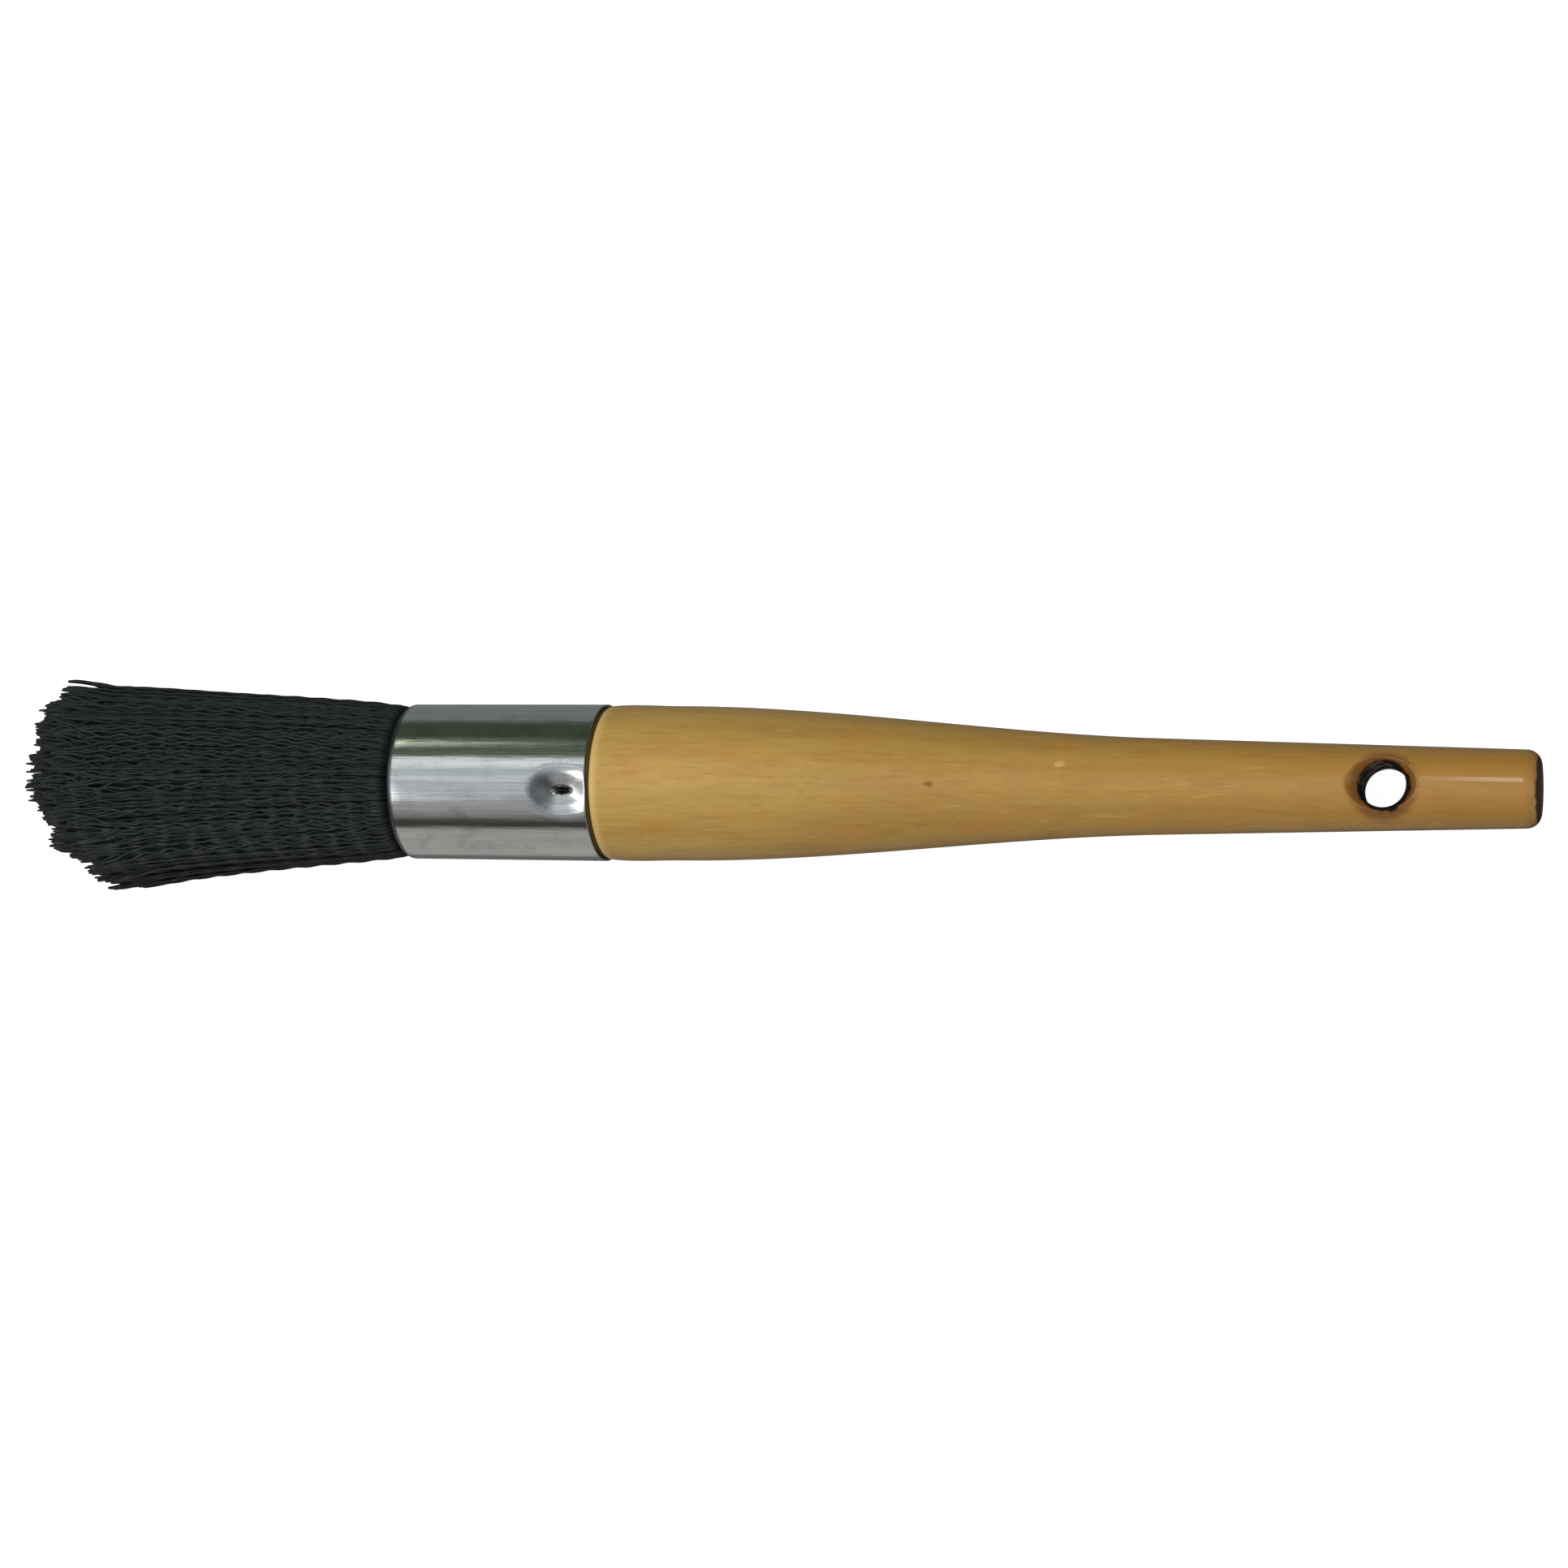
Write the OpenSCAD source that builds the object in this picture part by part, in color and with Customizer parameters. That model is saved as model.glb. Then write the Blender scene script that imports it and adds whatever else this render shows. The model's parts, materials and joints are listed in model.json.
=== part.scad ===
// Round stencil brush: a knot of crimped filaments is set in resin inside a staked sheet-metal
// ferrule, on a turned hardwood handle with a hang hole.
// Everything is drawn along the brush's own axis, with x = 0 at the ferrule's handle-side edge,
// filaments towards -X and handle towards +X. at_rest() then lays the brush down on the plane
// z = 0, where it touches at the filaments' rim and at the handle's belly.

/* [Ferrule] */
// Outside diameter of the ferrule tube
ferrule_d = 27; // [22:0.5:32]
// Length of the ferrule
ferrule_len = 36; // [32:1:50]
// Thickness of the ferrule's sheet
sheet = 0.5; // [0.4:0.1:0.8]
// Outside radius of the lip that curls inwards at the mouth
lip_r = 1; // [0.9:0.1:1.5]

/* [Stakes] */
// Number of round stakes punched through the ferrule into the handle's tenon
stake_count = 2; // [2:1:4]
// Radius of the ball-ended punch
punch_r = 8; // [6:0.5:9]
// Depth of each stake below the ferrule's surface
stake_depth = 1.3; // [0.8:0.1:1.4]
// Distance from the ferrule's handle-side edge to the middle of a stake
stake_inset = 5; // [4.8:0.1:7]
// Turn of the first stake round the axis, away from the hang hole, in degrees
stake_turn = 14; // [0:1:45]

/* [Filaments] */
// Length from the ferrule's mouth to the top of the domed trim
trim_len = 71.5; // [50:0.5:90]
// Diameter at the rim of the trim, where the flared knot is widest
rim_d = 35.8; // [32:0.1:42]
// Height of the dome that the tips are trimmed to
dome_h = 11.5; // [4:0.5:16]
// Diameter that the knot springs out to just past the lip
spring_d = 26.4; // [25:0.1:29]

/* [Handle] */
// Length of the handle outside the ferrule
handle_len = 158; // [130:1:190]
// Diameter of the belly behind the ferrule
belly_d = 26.5; // [21:0.1:31]
// Length of the straight part of the belly
belly_len = 13; // [8:1:30]
// Distance from the ferrule to the end of the taper from belly to grip
taper_end = 96; // [70:1:110]
// Diameter of the grip at the end of that taper
grip_d = 16; // [14:0.1:19]
// Diameter at the butt, before its edge is rounded
butt_d = 12.8; // [12:0.1:14]
// Radius of the butt's rounded edge
butt_round = 2.4; // [1:0.1:4]
// Length of the tenon inside the ferrule
tenon_len = 15; // [12:0.5:16]

/* [Hang hole] */
// Diameter of the hole through the handle
hole_d = 7.5; // [5:0.1:8]
// Distance from the butt to the middle of the hole
hole_inset = 25; // [15:0.5:40]
// Depth of the 45 degree countersink at each mouth of the hole
hole_sink = 2.2; // [0.5:0.1:2.4]

/* [Hidden] */
$fn = 96;

fit_gap = 0.05;        // all round the tenon in the ferrule, and under the stakes
shoulder_gap = 0.4;    // between the ferrule's edge and the handle's shoulder
shoulder_round = 0.8;  // on the shoulder's edge
tenon_chamfer = 1;
resin_base = 2;        // solid resin behind the filaments' butts
resin_wall = 0.7;      // resin between the knot and the ferrule
root_depth = 8;        // of the butts in the resin
over = 1;              // that a cutter runs past a surface
taper_steps = 32;
round_steps = 8;

ferrule_r = ferrule_d / 2;
bore_r = ferrule_r - sheet;
rim_r = rim_d / 2;
mouth_x = -ferrule_len;
rim_x = mouth_x - trim_len + dome_h;
resin_x = -tenon_len - fit_gap;
root_x = resin_x - resin_base;
resin_face_x = root_x - root_depth;
hole_x = handle_len - hole_inset;
tail_slope = (butt_d - grip_d) / 2 / (handle_len - taper_end);

// Points on an arc about centre, from angle a to angle b
function arc(centre, r, a, b) =
    [for (i = [0 : round_steps]) centre + r * [cos(a + (b - a) * i / round_steps),
                                               sin(a + (b - a) * i / round_steps)]];

// Radius of the taper at u, from 0 at the belly to 1 at the grip: a cubic that leaves the belly
// level and meets the straight tail at the tail's own slope
function taper_r(u) =
    belly_d / 2 * (2 * pow(u, 3) - 3 * pow(u, 2) + 1)
    + grip_d / 2 * (3 * pow(u, 2) - 2 * pow(u, 3))
    + (taper_end - belly_len) * tail_slope * (pow(u, 3) - pow(u, 2));

// Outline of the handle outside the ferrule, as [x, radius] from shoulder to butt
outside = concat(
    arc([shoulder_gap + shoulder_round, belly_d / 2 - shoulder_round], shoulder_round, 180, 90),
    [for (i = [0 : taper_steps])
        let (u = i / taper_steps) [belly_len + (taper_end - belly_len) * u, taper_r(u)]],
    arc([handle_len - butt_round, butt_d / 2 - butt_round], butt_round, 90, 0));

// Outline of the filaments' dome, an arc from the rim to the axis
dome_r = (pow(rim_r, 2) + pow(dome_h, 2)) / (2 * dome_h);
dome = arc([rim_x - dome_h + dome_r, 0], dome_r, 180 - asin(rim_r / dome_r), 180);

// Lying down, the brush tilts until a line below it touches the rim and the belly
rest_tilt = atan(min([for (p = outside) (rim_r - p.y) / (p.x - rim_x)]));
rest_lift = max([for (p = concat(dome, outside)) p.x * sin(rest_tilt) + p.y * cos(rest_tilt)]);
front_x = min([for (p = dome) p.x * cos(rest_tilt) - p.y * sin(rest_tilt)]);
back_x = max([for (p = outside) p.x * cos(rest_tilt) + p.y * sin(rest_tilt)]);

// Lays the brush on the plane z = 0, with the middle of its length at x = 0
module at_rest() {
    translate([-(front_x + back_x) / 2, 0, rest_lift])
        rotate([0, rest_tilt, 0])
            children();
}

// A solid of revolution about the brush's axis, from an outline of [x, radius] points
module turned(outline) {
    rotate([0, 90, 0])
        rotate_extrude()
            polygon([for (p = outline) [p.y, p.x]]);
}

// The balls of the punches that stake the ferrule, at the depth they are driven to, with their
// radius grown by grow
module punches(grow) {
    for (i = [0 : stake_count - 1])
        rotate([stake_turn + 360 / stake_count * i, 0, 0])
            translate([-stake_inset, 0, ferrule_r - stake_depth + punch_r])
                sphere(punch_r + grow);
}

// The hang hole and its countersunk mouths
module hang_hole() {
    crown = belly_d;
    surface_z = grip_d / 2 + tail_slope * (hole_x - taper_end);
    translate([hole_x, 0, 0]) {
        cylinder(h = 2 * crown, d = hole_d, center = true);
        for (side = [0, 1])
            mirror([0, 0, side])
                translate([0, 0, surface_z - hole_sink])
                    cylinder(h = hole_sink + over,
                             r1 = hole_d / 2,
                             r2 = hole_d / 2 + hole_sink + over);
    }
}

// Turned handle, with the tenon that fills the end of the ferrule
module handle() {
    tenon_r = bore_r - fit_gap;
    color("burlywood")
        at_rest()
            difference() {
                turned(concat([[-tenon_len, 0],
                               [-tenon_len, tenon_r - tenon_chamfer],
                               [-tenon_len + tenon_chamfer, tenon_r],
                               [shoulder_gap, tenon_r]],
                              outside,
                              [[handle_len, 0]]));
                hang_hole();
                punches(sheet + fit_gap);
            }
}

// Sheet-metal tube with a curled lip at the mouth and stakes near the other edge
module ferrule() {
    lip = [mouth_x + lip_r, ferrule_r - lip_r];
    color("silver")
        at_rest()
            difference() {
                union() {
                    turned(concat([[0, bore_r], [0, ferrule_r]],
                                  arc(lip, lip_r, 90, 180),
                                  arc(lip, lip_r - sheet, 180, 90)));
                    intersection() {
                        turned([[mouth_x / 2, 0],
                                [mouth_x / 2, bore_r + sheet / 2],
                                [0, bore_r + sheet / 2],
                                [0, 0]]);
                        punches(sheet);
                    }
                }
                punches(0);
            }
}

// Cured resin that holds the filaments' butts and seals the ferrule
module setting_resin() {
    color("darkgoldenrod")
        at_rest()
            turned([[resin_x, 0],
                    [resin_x, bore_r],
                    [resin_face_x, bore_r],
                    [resin_face_x, bore_r - resin_wall],
                    [root_x, bore_r - resin_wall],
                    [root_x, 0]]);
}

// Whole knot of filaments: butts in the resin, waist in the lip, flare and domed trim
module filament_knot() {
    waist_r = ferrule_r - lip_r - fit_gap;
    packed_r = bore_r - fit_gap;
    color("dimgray")
        at_rest()
            turned(concat([[root_x, 0],
                           [root_x, bore_r - resin_wall],
                           [resin_face_x, bore_r - resin_wall],
                           [resin_face_x - over, packed_r],
                           [mouth_x + lip_r, packed_r],
                           [mouth_x + lip_r - sheet, waist_r],
                           [mouth_x, waist_r],
                           [mouth_x - 2 * lip_r, spring_d / 2]],
                          dome));
}

handle();
ferrule();
setting_resin();
filament_knot();
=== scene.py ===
"""Round brush laid on a pale floor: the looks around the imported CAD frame.

Lengths are in metres. Pieces are drawn in the brush's own coordinates and then laid down:
x runs along the brush from the filaments to the butt and is 0 at the ferrule's handle-side edge,
y runs across it, and z runs through the hang hole, away from the floor.
"""

import json
import math

import bmesh
import bpy
import numpy as np
from mathutils import Matrix, Vector


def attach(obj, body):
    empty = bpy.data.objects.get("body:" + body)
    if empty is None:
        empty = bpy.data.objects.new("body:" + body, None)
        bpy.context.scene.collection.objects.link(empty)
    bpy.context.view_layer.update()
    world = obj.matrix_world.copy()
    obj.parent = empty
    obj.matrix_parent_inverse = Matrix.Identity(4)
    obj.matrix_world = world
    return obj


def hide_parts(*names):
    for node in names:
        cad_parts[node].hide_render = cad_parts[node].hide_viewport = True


MM = 0.001
GOLDEN_ANGLE = math.pi * (3 - math.sqrt(5))

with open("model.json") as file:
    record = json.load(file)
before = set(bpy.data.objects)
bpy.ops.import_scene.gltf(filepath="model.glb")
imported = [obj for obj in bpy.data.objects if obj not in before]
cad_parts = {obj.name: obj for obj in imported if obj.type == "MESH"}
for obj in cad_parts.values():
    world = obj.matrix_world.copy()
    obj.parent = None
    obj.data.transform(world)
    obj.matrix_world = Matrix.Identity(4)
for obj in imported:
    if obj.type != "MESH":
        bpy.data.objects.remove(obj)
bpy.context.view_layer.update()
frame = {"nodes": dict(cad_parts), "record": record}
record = frame["record"]


# ---------------------------------------------------------------------------------------------
# The brush's own coordinates, from the record's mounts
# ---------------------------------------------------------------------------------------------

def mount(name):
    """The record's mount of that name."""
    return next(m for m in record["mounts"] if m["name"] == name)


def brush_to_frame():
    """Matrix from the brush's own coordinates to the row frame."""
    grip = mount("ferrule_grip")
    hole = mount("hang_hole")
    along = Vector(grip["axis"]).normalized()
    up = Vector(hole["axis"]).normalized()
    across = up.cross(along)
    edge = Vector(grip["pos_m"]) + along * grip["dims"]["length_mm"] * MM / 2
    turn = Matrix((along, across, up)).transposed().to_4x4()
    return Matrix.Translation(edge) @ turn


LAY = brush_to_frame()
LAY_TURN = np.array(LAY.to_3x3())
LAY_SHIFT = np.array(LAY.translation)


def laid(points):
    """Points in brush coordinates, moved to the row frame."""
    return points @ LAY_TURN.T + LAY_SHIFT


def unlaid(points):
    """Points in the row frame, moved to brush coordinates."""
    return (points - LAY_SHIFT) @ LAY_TURN


def node_points(node):
    """A CAD node's vertices in brush coordinates."""
    mesh = frame["nodes"][node].data
    co = np.empty(len(mesh.vertices) * 3, np.float32)
    mesh.vertices.foreach_get("co", co)
    return unlaid(co.reshape(-1, 3).astype(float))


FERRULE_R = mount("ferrule_grip")["dims"]["r_mm"] * MM
HOLE_R = mount("hang_hole")["dims"]["r_mm"] * MM
HOLE_X = float(unlaid(np.array(mount("hang_hole")["pos_m"]))[0])
MOUTH_X = float(node_points("ferrule")[:, 0].min())
BUTT_X = float(node_points("handle")[:, 0].max())
TENON_X = float(node_points("handle")[:, 0].min())
TIP_X = float(node_points("filament_knot")[:, 0].min())
ROOT_X = float(node_points("filament_knot")[:, 0].max())


def side_outline(node):
    """Radius against x of a turned CAD node, read off its two sides, away from hole and stakes."""
    points = node_points(node)
    radius = np.hypot(points[:, 1], points[:, 2])
    on_side = np.abs(points[:, 2]) < 0.3 * radius
    step = 0.01 * MM
    found = {}
    for x, r in zip(np.round(points[on_side, 0] / step) * step, radius[on_side]):
        found[x] = max(found.get(x, 0), r)
    xs = np.array(sorted(found))
    return xs, np.array([found[x] for x in xs])


# ---------------------------------------------------------------------------------------------
# Meshes
# ---------------------------------------------------------------------------------------------

def new_piece(name, points, polygons, smooth_angle=math.radians(50)):
    """A mesh object from points in brush coordinates and lists of equal-sided polygons."""
    mesh = bpy.data.meshes.new(name)
    points = laid(points)
    mesh.vertices.add(len(points))
    mesh.vertices.foreach_set("co", points.astype(np.float32).ravel())
    corners = np.concatenate([p.ravel() for p in polygons]).astype(np.int32)
    sides = np.concatenate([np.full(len(p), p.shape[1]) for p in polygons])
    starts = np.concatenate([[0], np.cumsum(sides)[:-1]]).astype(np.int32)
    mesh.loops.add(len(corners))
    mesh.loops.foreach_set("vertex_index", corners)
    mesh.polygons.add(len(sides))
    mesh.polygons.foreach_set("loop_start", starts)
    mesh.update(calc_edges=True)
    mesh.shade_smooth()
    if smooth_angle:
        mesh.set_sharp_from_angle(angle=smooth_angle)
    piece = bpy.data.objects.new(name, mesh)
    bpy.context.scene.collection.objects.link(piece)
    return piece


def grid_faces(rows, columns, first=0, close_rows=False):
    """Quads of a grid of rows x columns points that closes round its columns."""
    last = rows if close_rows else rows - 1
    i, j = np.meshgrid(np.arange(last), np.arange(columns), indexing="ij")
    below = (i + 1) % rows
    beside = (j + 1) % columns
    quads = np.stack([i * columns + j, i * columns + beside,
                      below * columns + beside, below * columns + j], axis=-1)
    return first + quads.reshape(-1, 4)


def around(x, radius, turn):
    """Points at radius from the axis, at turn from +z towards +y."""
    return np.stack(np.broadcast_arrays(x, radius * np.sin(turn), radius * np.cos(turn)), axis=-1)


def smooth_step(low, high, value):
    """0 below low, 1 above high, and a smooth rise between."""
    t = np.clip((value - low) / (high - low), 0, 1)
    return t * t * (3 - 2 * t)


def soft_min(a, b, width):
    """The lower of a and b, rounded over where they are within width of each other."""
    blend = np.clip(0.5 + (b - a) / (2 * width), 0, 1)
    return b + (a - b) * blend - width * blend * (1 - blend) / 2


def hermite(xs, ys, at):
    """Smooth curve through points, with slopes from their neighbours."""
    slopes = np.gradient(ys, xs)
    k = np.clip(np.searchsorted(xs, at) - 1, 0, len(xs) - 2)
    width = xs[k + 1] - xs[k]
    t = np.clip((at - xs[k]) / width, 0, 1)
    return ((2 * t**3 - 3 * t**2 + 1) * ys[k] + (t**3 - 2 * t**2 + t) * width * slopes[k]
            + (3 * t**2 - 2 * t**3) * ys[k + 1] + (t**3 - t**2) * width * slopes[k + 1])


# ---------------------------------------------------------------------------------------------
# Ferrule
# ---------------------------------------------------------------------------------------------

SHEET = 0.5 * MM                      # thickness of the ferrule's sheet
LIP_R = 1 * MM                        # outside radius of the lip curled in at the mouth
STAKE_X = -5 * MM                     # middle of a stake
STAKE_TURNS = (math.radians(-14), math.radians(166))   # from the hang hole, towards +y
STAKE_DEPTH = 1.38 * MM
STAKE_REACH = 6.0 * MM                # from its middle to where the sheet is round again
STAKE_FADE = 2.6                      # power by which its depth fades towards its reach
EDGE_SPREAD = 0.6                     # towards the sheet's edge the dent runs out this much slower
ACROSS_SPREAD = 1.12                  # and across the brush this much faster
POINT_DEPTH = 0.6 * MM                # of the punch's sharp point, below the stake
POINT_REACH = (2.2 * MM, 1.0 * MM)    # along and across the brush
POINT_FADE = 1.3                      # power by which its depth fades towards its reach
POINT_SHIFT = 0.5 * MM                # from the stake's middle towards the sheet's edge


def stake_depth(x, turn):
    """How far the stakes press the sheet in, at x and turn."""
    depth = np.zeros(np.broadcast(x, turn).shape)
    for middle in STAKE_TURNS:
        off = (turn - middle + math.pi) % (2 * math.pi) - math.pi
        along = x - STAKE_X
        across = FERRULE_R * off
        spread = np.where(along > 0, EDGE_SPREAD * along, along)
        away = np.hypot(spread, ACROSS_SPREAD * across)
        bowl = np.clip(1 - (away / STAKE_REACH) ** 2, 0, 1) ** STAKE_FADE
        from_point = np.hypot((along - POINT_SHIFT) / POINT_REACH[0], across / POINT_REACH[1])
        point = np.clip(1 - from_point, 0, 1) ** POINT_FADE
        depth += STAKE_DEPTH * bowl + POINT_DEPTH * point
    return depth


def arc(centre_x, centre_r, radius, start, end, count):
    """Points of an outline's arc, as (x, radius), with angles from +x towards the outside."""
    turn = np.radians(np.linspace(start, end, count))
    return np.stack([centre_x + radius * np.cos(turn), centre_r + radius * np.sin(turn)], axis=-1)


def ferrule_outline():
    """The sheet's closed outline: outer wall, lip curled in at the mouth, inner wall, edge."""
    edge = SHEET * 0.35
    lip_x = MOUTH_X + LIP_R
    lip_r = FERRULE_R - LIP_R
    stake_end = STAKE_X - STAKE_REACH
    near = np.arange(-edge, stake_end, -0.2 * MM)
    far = np.linspace(stake_end, lip_x, 14)
    wall = np.concatenate([near, far])
    outer = np.stack([wall, np.full(len(wall), FERRULE_R)], axis=-1)
    inner = np.stack([wall[::-1], np.full(len(wall), FERRULE_R - SHEET)], axis=-1)
    return np.concatenate([
        arc(-edge, FERRULE_R - edge, edge, 0, 75, 5),
        outer,
        arc(lip_x, lip_r, LIP_R, 96, 174, 12),
        arc(MOUTH_X + SHEET / 2, lip_r, SHEET / 2, 180, 360, 9),
        arc(lip_x, lip_r, LIP_R - SHEET, 174, 96, 8),
        inner,
        arc(-edge, FERRULE_R - SHEET + edge, edge, -75, 0, 5)])


def ferrule_piece():
    """The staked tube, its sheet pressed in at the stakes."""
    outline = ferrule_outline()
    columns = 400
    turn = np.arange(columns) * 2 * math.pi / columns
    x = outline[:, :1]
    radius = outline[:, 1:]
    points = around(x, radius - stake_depth(x, turn), turn)
    faces = grid_faces(len(outline), columns, close_rows=True)
    piece = new_piece("ferrule_tube", points.reshape(-1, 3), [faces], smooth_angle=None)
    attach(piece, "root")
    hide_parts("ferrule")
    return piece


# ---------------------------------------------------------------------------------------------
# Handle
# ---------------------------------------------------------------------------------------------

HANDLE_COLUMNS = 180
FIT_GAP = 0.05 * MM                   # between the tenon and the ferrule's stakes
SHOULDER_X = 1.2 * MM                 # end of the shoulder's rounded edge
SHOULDER_RINGS = 2 * MM               # up to here the rings are the CAD outline's own
BUTT_RINGS = 4 * MM                   # from the butt, where they are the outline's own again
TAIL_X = 101 * MM                     # from here to the butt's edge the handle is a straight cone
BUTT_EDGE = 2.4 * MM                  # from the butt, where that cone ends
WINDOW_HALF_X = 7.5 * MM              # the part of the handle redrawn round the hang hole
WINDOW_HALF_COLUMNS = 26
WINDOW_STEP = 0.5 * MM
WINDOW_RINGS = 24                     # between the window's edge and the hole
MOUTH_ROUND = 0.4 * MM                # of the edge between the hole and its countersink
SINK_ROUND = 0.5 * MM                 # of the edge between the countersink and the surface


def handle_rings(xs):
    """Ring positions: the outline's own where it is curved tightly, and even steps between."""
    window = np.arange(-WINDOW_HALF_X, WINDOW_HALF_X + WINDOW_STEP / 2, WINDOW_STEP) + HOLE_X
    even = np.arange(TENON_X, BUTT_X, 1 * MM)
    tight = xs[(xs < SHOULDER_RINGS) | (xs > BUTT_X - BUTT_RINGS)]
    even = even[(np.abs(even - HOLE_X) > WINDOW_HALF_X + WINDOW_STEP) & (even > SHOULDER_RINGS)
                & (even < BUTT_X - BUTT_RINGS)]
    stake = np.arange(TENON_X + 2 * MM, 0, 0.4 * MM)
    tail_end = np.arange(BUTT_X - BUTT_RINGS, BUTT_X - BUTT_EDGE, 0.2 * MM)
    rings = np.unique(np.round(np.concatenate([window, even, tight, stake, tail_end]), 7))
    keep = np.concatenate([[True], np.diff(rings) > 0.02 * MM])
    return rings[keep]


def handle_radius(xs, rs, at):
    """Radius of the handle outside the ferrule, from its outline's points."""
    return np.where(at < TAIL_X, hermite(xs, rs, at), np.interp(at, xs, rs))


def handle_piece():
    """The turned handle and its tenon, with the hang hole cut through."""
    xs, rs = side_outline("handle")
    rings = handle_rings(xs)
    turned = rings > SHOULDER_X
    radius = np.interp(rings, xs, rs)
    radius[turned] = handle_radius(xs, rs, rings[turned])
    columns = HANDLE_COLUMNS
    turn = np.arange(columns) * 2 * math.pi / columns
    skin = np.broadcast_to(radius[:, None], (len(rings), columns))
    under_stake = FERRULE_R - SHEET - FIT_GAP - stake_depth(rings[:, None], turn)
    skin = np.where(rings[:, None] < 0, np.minimum(skin, under_stake), skin)
    body = around(rings[:, None], skin, turn)

    ends, end_faces = handle_ends(rings, radius, turn, len(rings) * columns)
    window_rows = np.flatnonzero(np.abs(rings - HOLE_X) < WINDOW_HALF_X + WINDOW_STEP / 4)
    faces = grid_faces(len(rings), columns)
    row = faces[:, 0] // columns
    column = faces[:, 0] % columns
    half = WINDOW_HALF_COLUMNS
    in_rows = (row >= window_rows[0]) & (row < window_rows[-1])
    on_top = (column + half) % columns < 2 * half
    below = (column + half + columns // 2) % columns < 2 * half
    faces = faces[~(in_rows & (on_top | below))]

    first = len(rings) * columns + len(ends)
    hole, hole_faces = hang_hole(rings, radius, window_rows, xs, rs, first)
    points = np.concatenate([body.reshape(-1, 3), ends, hole])
    piece = new_piece("handle_turned", points, [faces, *end_faces, hole_faces])
    outward(piece)
    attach(piece, "root")
    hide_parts("handle")
    return piece


def handle_ends(rings, radius, turn, first):
    """Rings and a middle polygon that close the tenon's end and the butt."""
    columns = len(turn)
    shares = np.array([0.8, 0.55, 0.3, 0.1])
    points = []
    faces = []
    for row, x in ((0, rings[0]), (len(rings) - 1, rings[-1])):
        start = first + sum(len(p) for p in points)
        points.append(around(x, radius[row] * shares[:, None], turn).reshape(-1, 3))
        j = np.arange(columns)
        rim = row * columns
        faces.append(np.stack([rim + j, rim + (j + 1) % columns,
                               start + (j + 1) % columns, start + j], axis=-1))
        faces.append(grid_faces(len(shares), columns, start))
        faces.append((start + (len(shares) - 1) * columns + j)[None, :])
    return np.concatenate(points), faces


def hang_hole(rings, radius, rows, xs, rs, first):
    """The handle's surface round both mouths of the hang hole, and the hole's wall between."""
    columns = HANDLE_COLUMNS
    half = WINDOW_HALF_COLUMNS
    across = np.arange(-half, half + 1)
    loop = ([(r, -half) for r in rows[:-1]] + [(rows[-1], c) for c in across[:-1]]
            + [(r, half) for r in rows[:0:-1]] + [(rows[0], c) for c in across[:0:-1]])
    row = np.array([r for r, _ in loop])
    column = np.array([c for _, c in loop])
    turn = column * 2 * math.pi / columns
    edge = np.stack([rings[row] - HOLE_X, radius[row] * np.sin(turn)], axis=-1)

    mouth = HOLE_R + MOUTH_ROUND
    inner = mouth * edge / np.linalg.norm(edge, axis=1, keepdims=True)
    share = (1 - np.arange(1, WINDOW_RINGS + 1) / WINDOW_RINGS) ** 1.2
    flat = inner + share[:, None, None] * (edge - inner)
    away = np.linalg.norm(flat, axis=-1)
    surface = np.sqrt(handle_radius(xs, rs, flat[..., 0] + HOLE_X) ** 2 - flat[..., 1] ** 2)
    wall_top = mount("hang_hole")["dims"]["length_mm"] * MM / 2
    height = soft_min(surface, wall_top + away - HOLE_R, SINK_ROUND)
    top = np.concatenate([flat, height[..., None]], axis=-1)

    step = np.linspace(0, 1, 6)[1:, None]
    lip_r = HOLE_R + MOUTH_ROUND * (1 - step) ** 2
    lip = np.concatenate([
        (inner / mouth)[None] * lip_r[..., None],
        (height[-1] - 2 * MOUTH_ROUND * step)[..., None]], axis=-1)
    upper = np.concatenate([top, lip])
    lower = upper[::-1] * (1, 1, -1)
    straight = np.linspace(0, 1, 12)[1:-1, None, None]
    wall = upper[-1] * (1 - straight) + lower[0] * straight
    tube = np.concatenate([upper, wall, lower]) + (HOLE_X, 0, 0)

    count = len(loop)
    faces = [grid_faces(len(tube), count, first)]
    j = np.arange(count)
    beside = (j + 1) % count
    grid_top = row * columns + column % columns
    grid_below = row * columns + (columns // 2 - column) % columns
    last = first + (len(tube) - 1) * count
    faces.append(np.stack([grid_top[j], grid_top[beside], first + beside, first + j], axis=-1))
    faces.append(np.stack([last + j, last + beside, grid_below[beside], grid_below[j]], axis=-1))
    return tube.reshape(-1, 3), np.concatenate(faces)


def outward(piece):
    """Turns every face's normal outwards."""
    shape = bmesh.new()
    shape.from_mesh(piece.data)
    bmesh.ops.recalc_face_normals(shape, faces=shape.faces)
    shape.to_mesh(piece.data)
    shape.free()


# ---------------------------------------------------------------------------------------------
# Filaments
# ---------------------------------------------------------------------------------------------

FILAMENTS = 3100
FILAMENT_R = 0.235 * MM
TIP_SHARE = 0.72                              # of that radius, at a filament's cut end
ROOT_END = 1.5 * MM                           # inside the mouth, where a filament's root ends
CRIMP_PITCH = 5 * MM
CRIMP_DEPTH = 0.24 * MM
TUFTS = 230                                   # that the tips gather into
TUFT_PULL = 0.78                              # how far a tip is drawn to its tuft's middle
TUFT_REACH = 11 * MM                          # from the trim, where the tufts begin
HEAD_BEND = math.tan(math.radians(2.0))       # slope at which the head bends towards -y
BEND_AT = 40 * MM                             # past the mouth, where it has reached that slope
TRIM_SKEW = 0.27                              # slope of the trim, which is longer on the +y side
TRIM_DOME = 0.9                               # share of the CAD dome's height
OUTER_SHARE = 0.85                            # beyond this share of the radius, full detail
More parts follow.
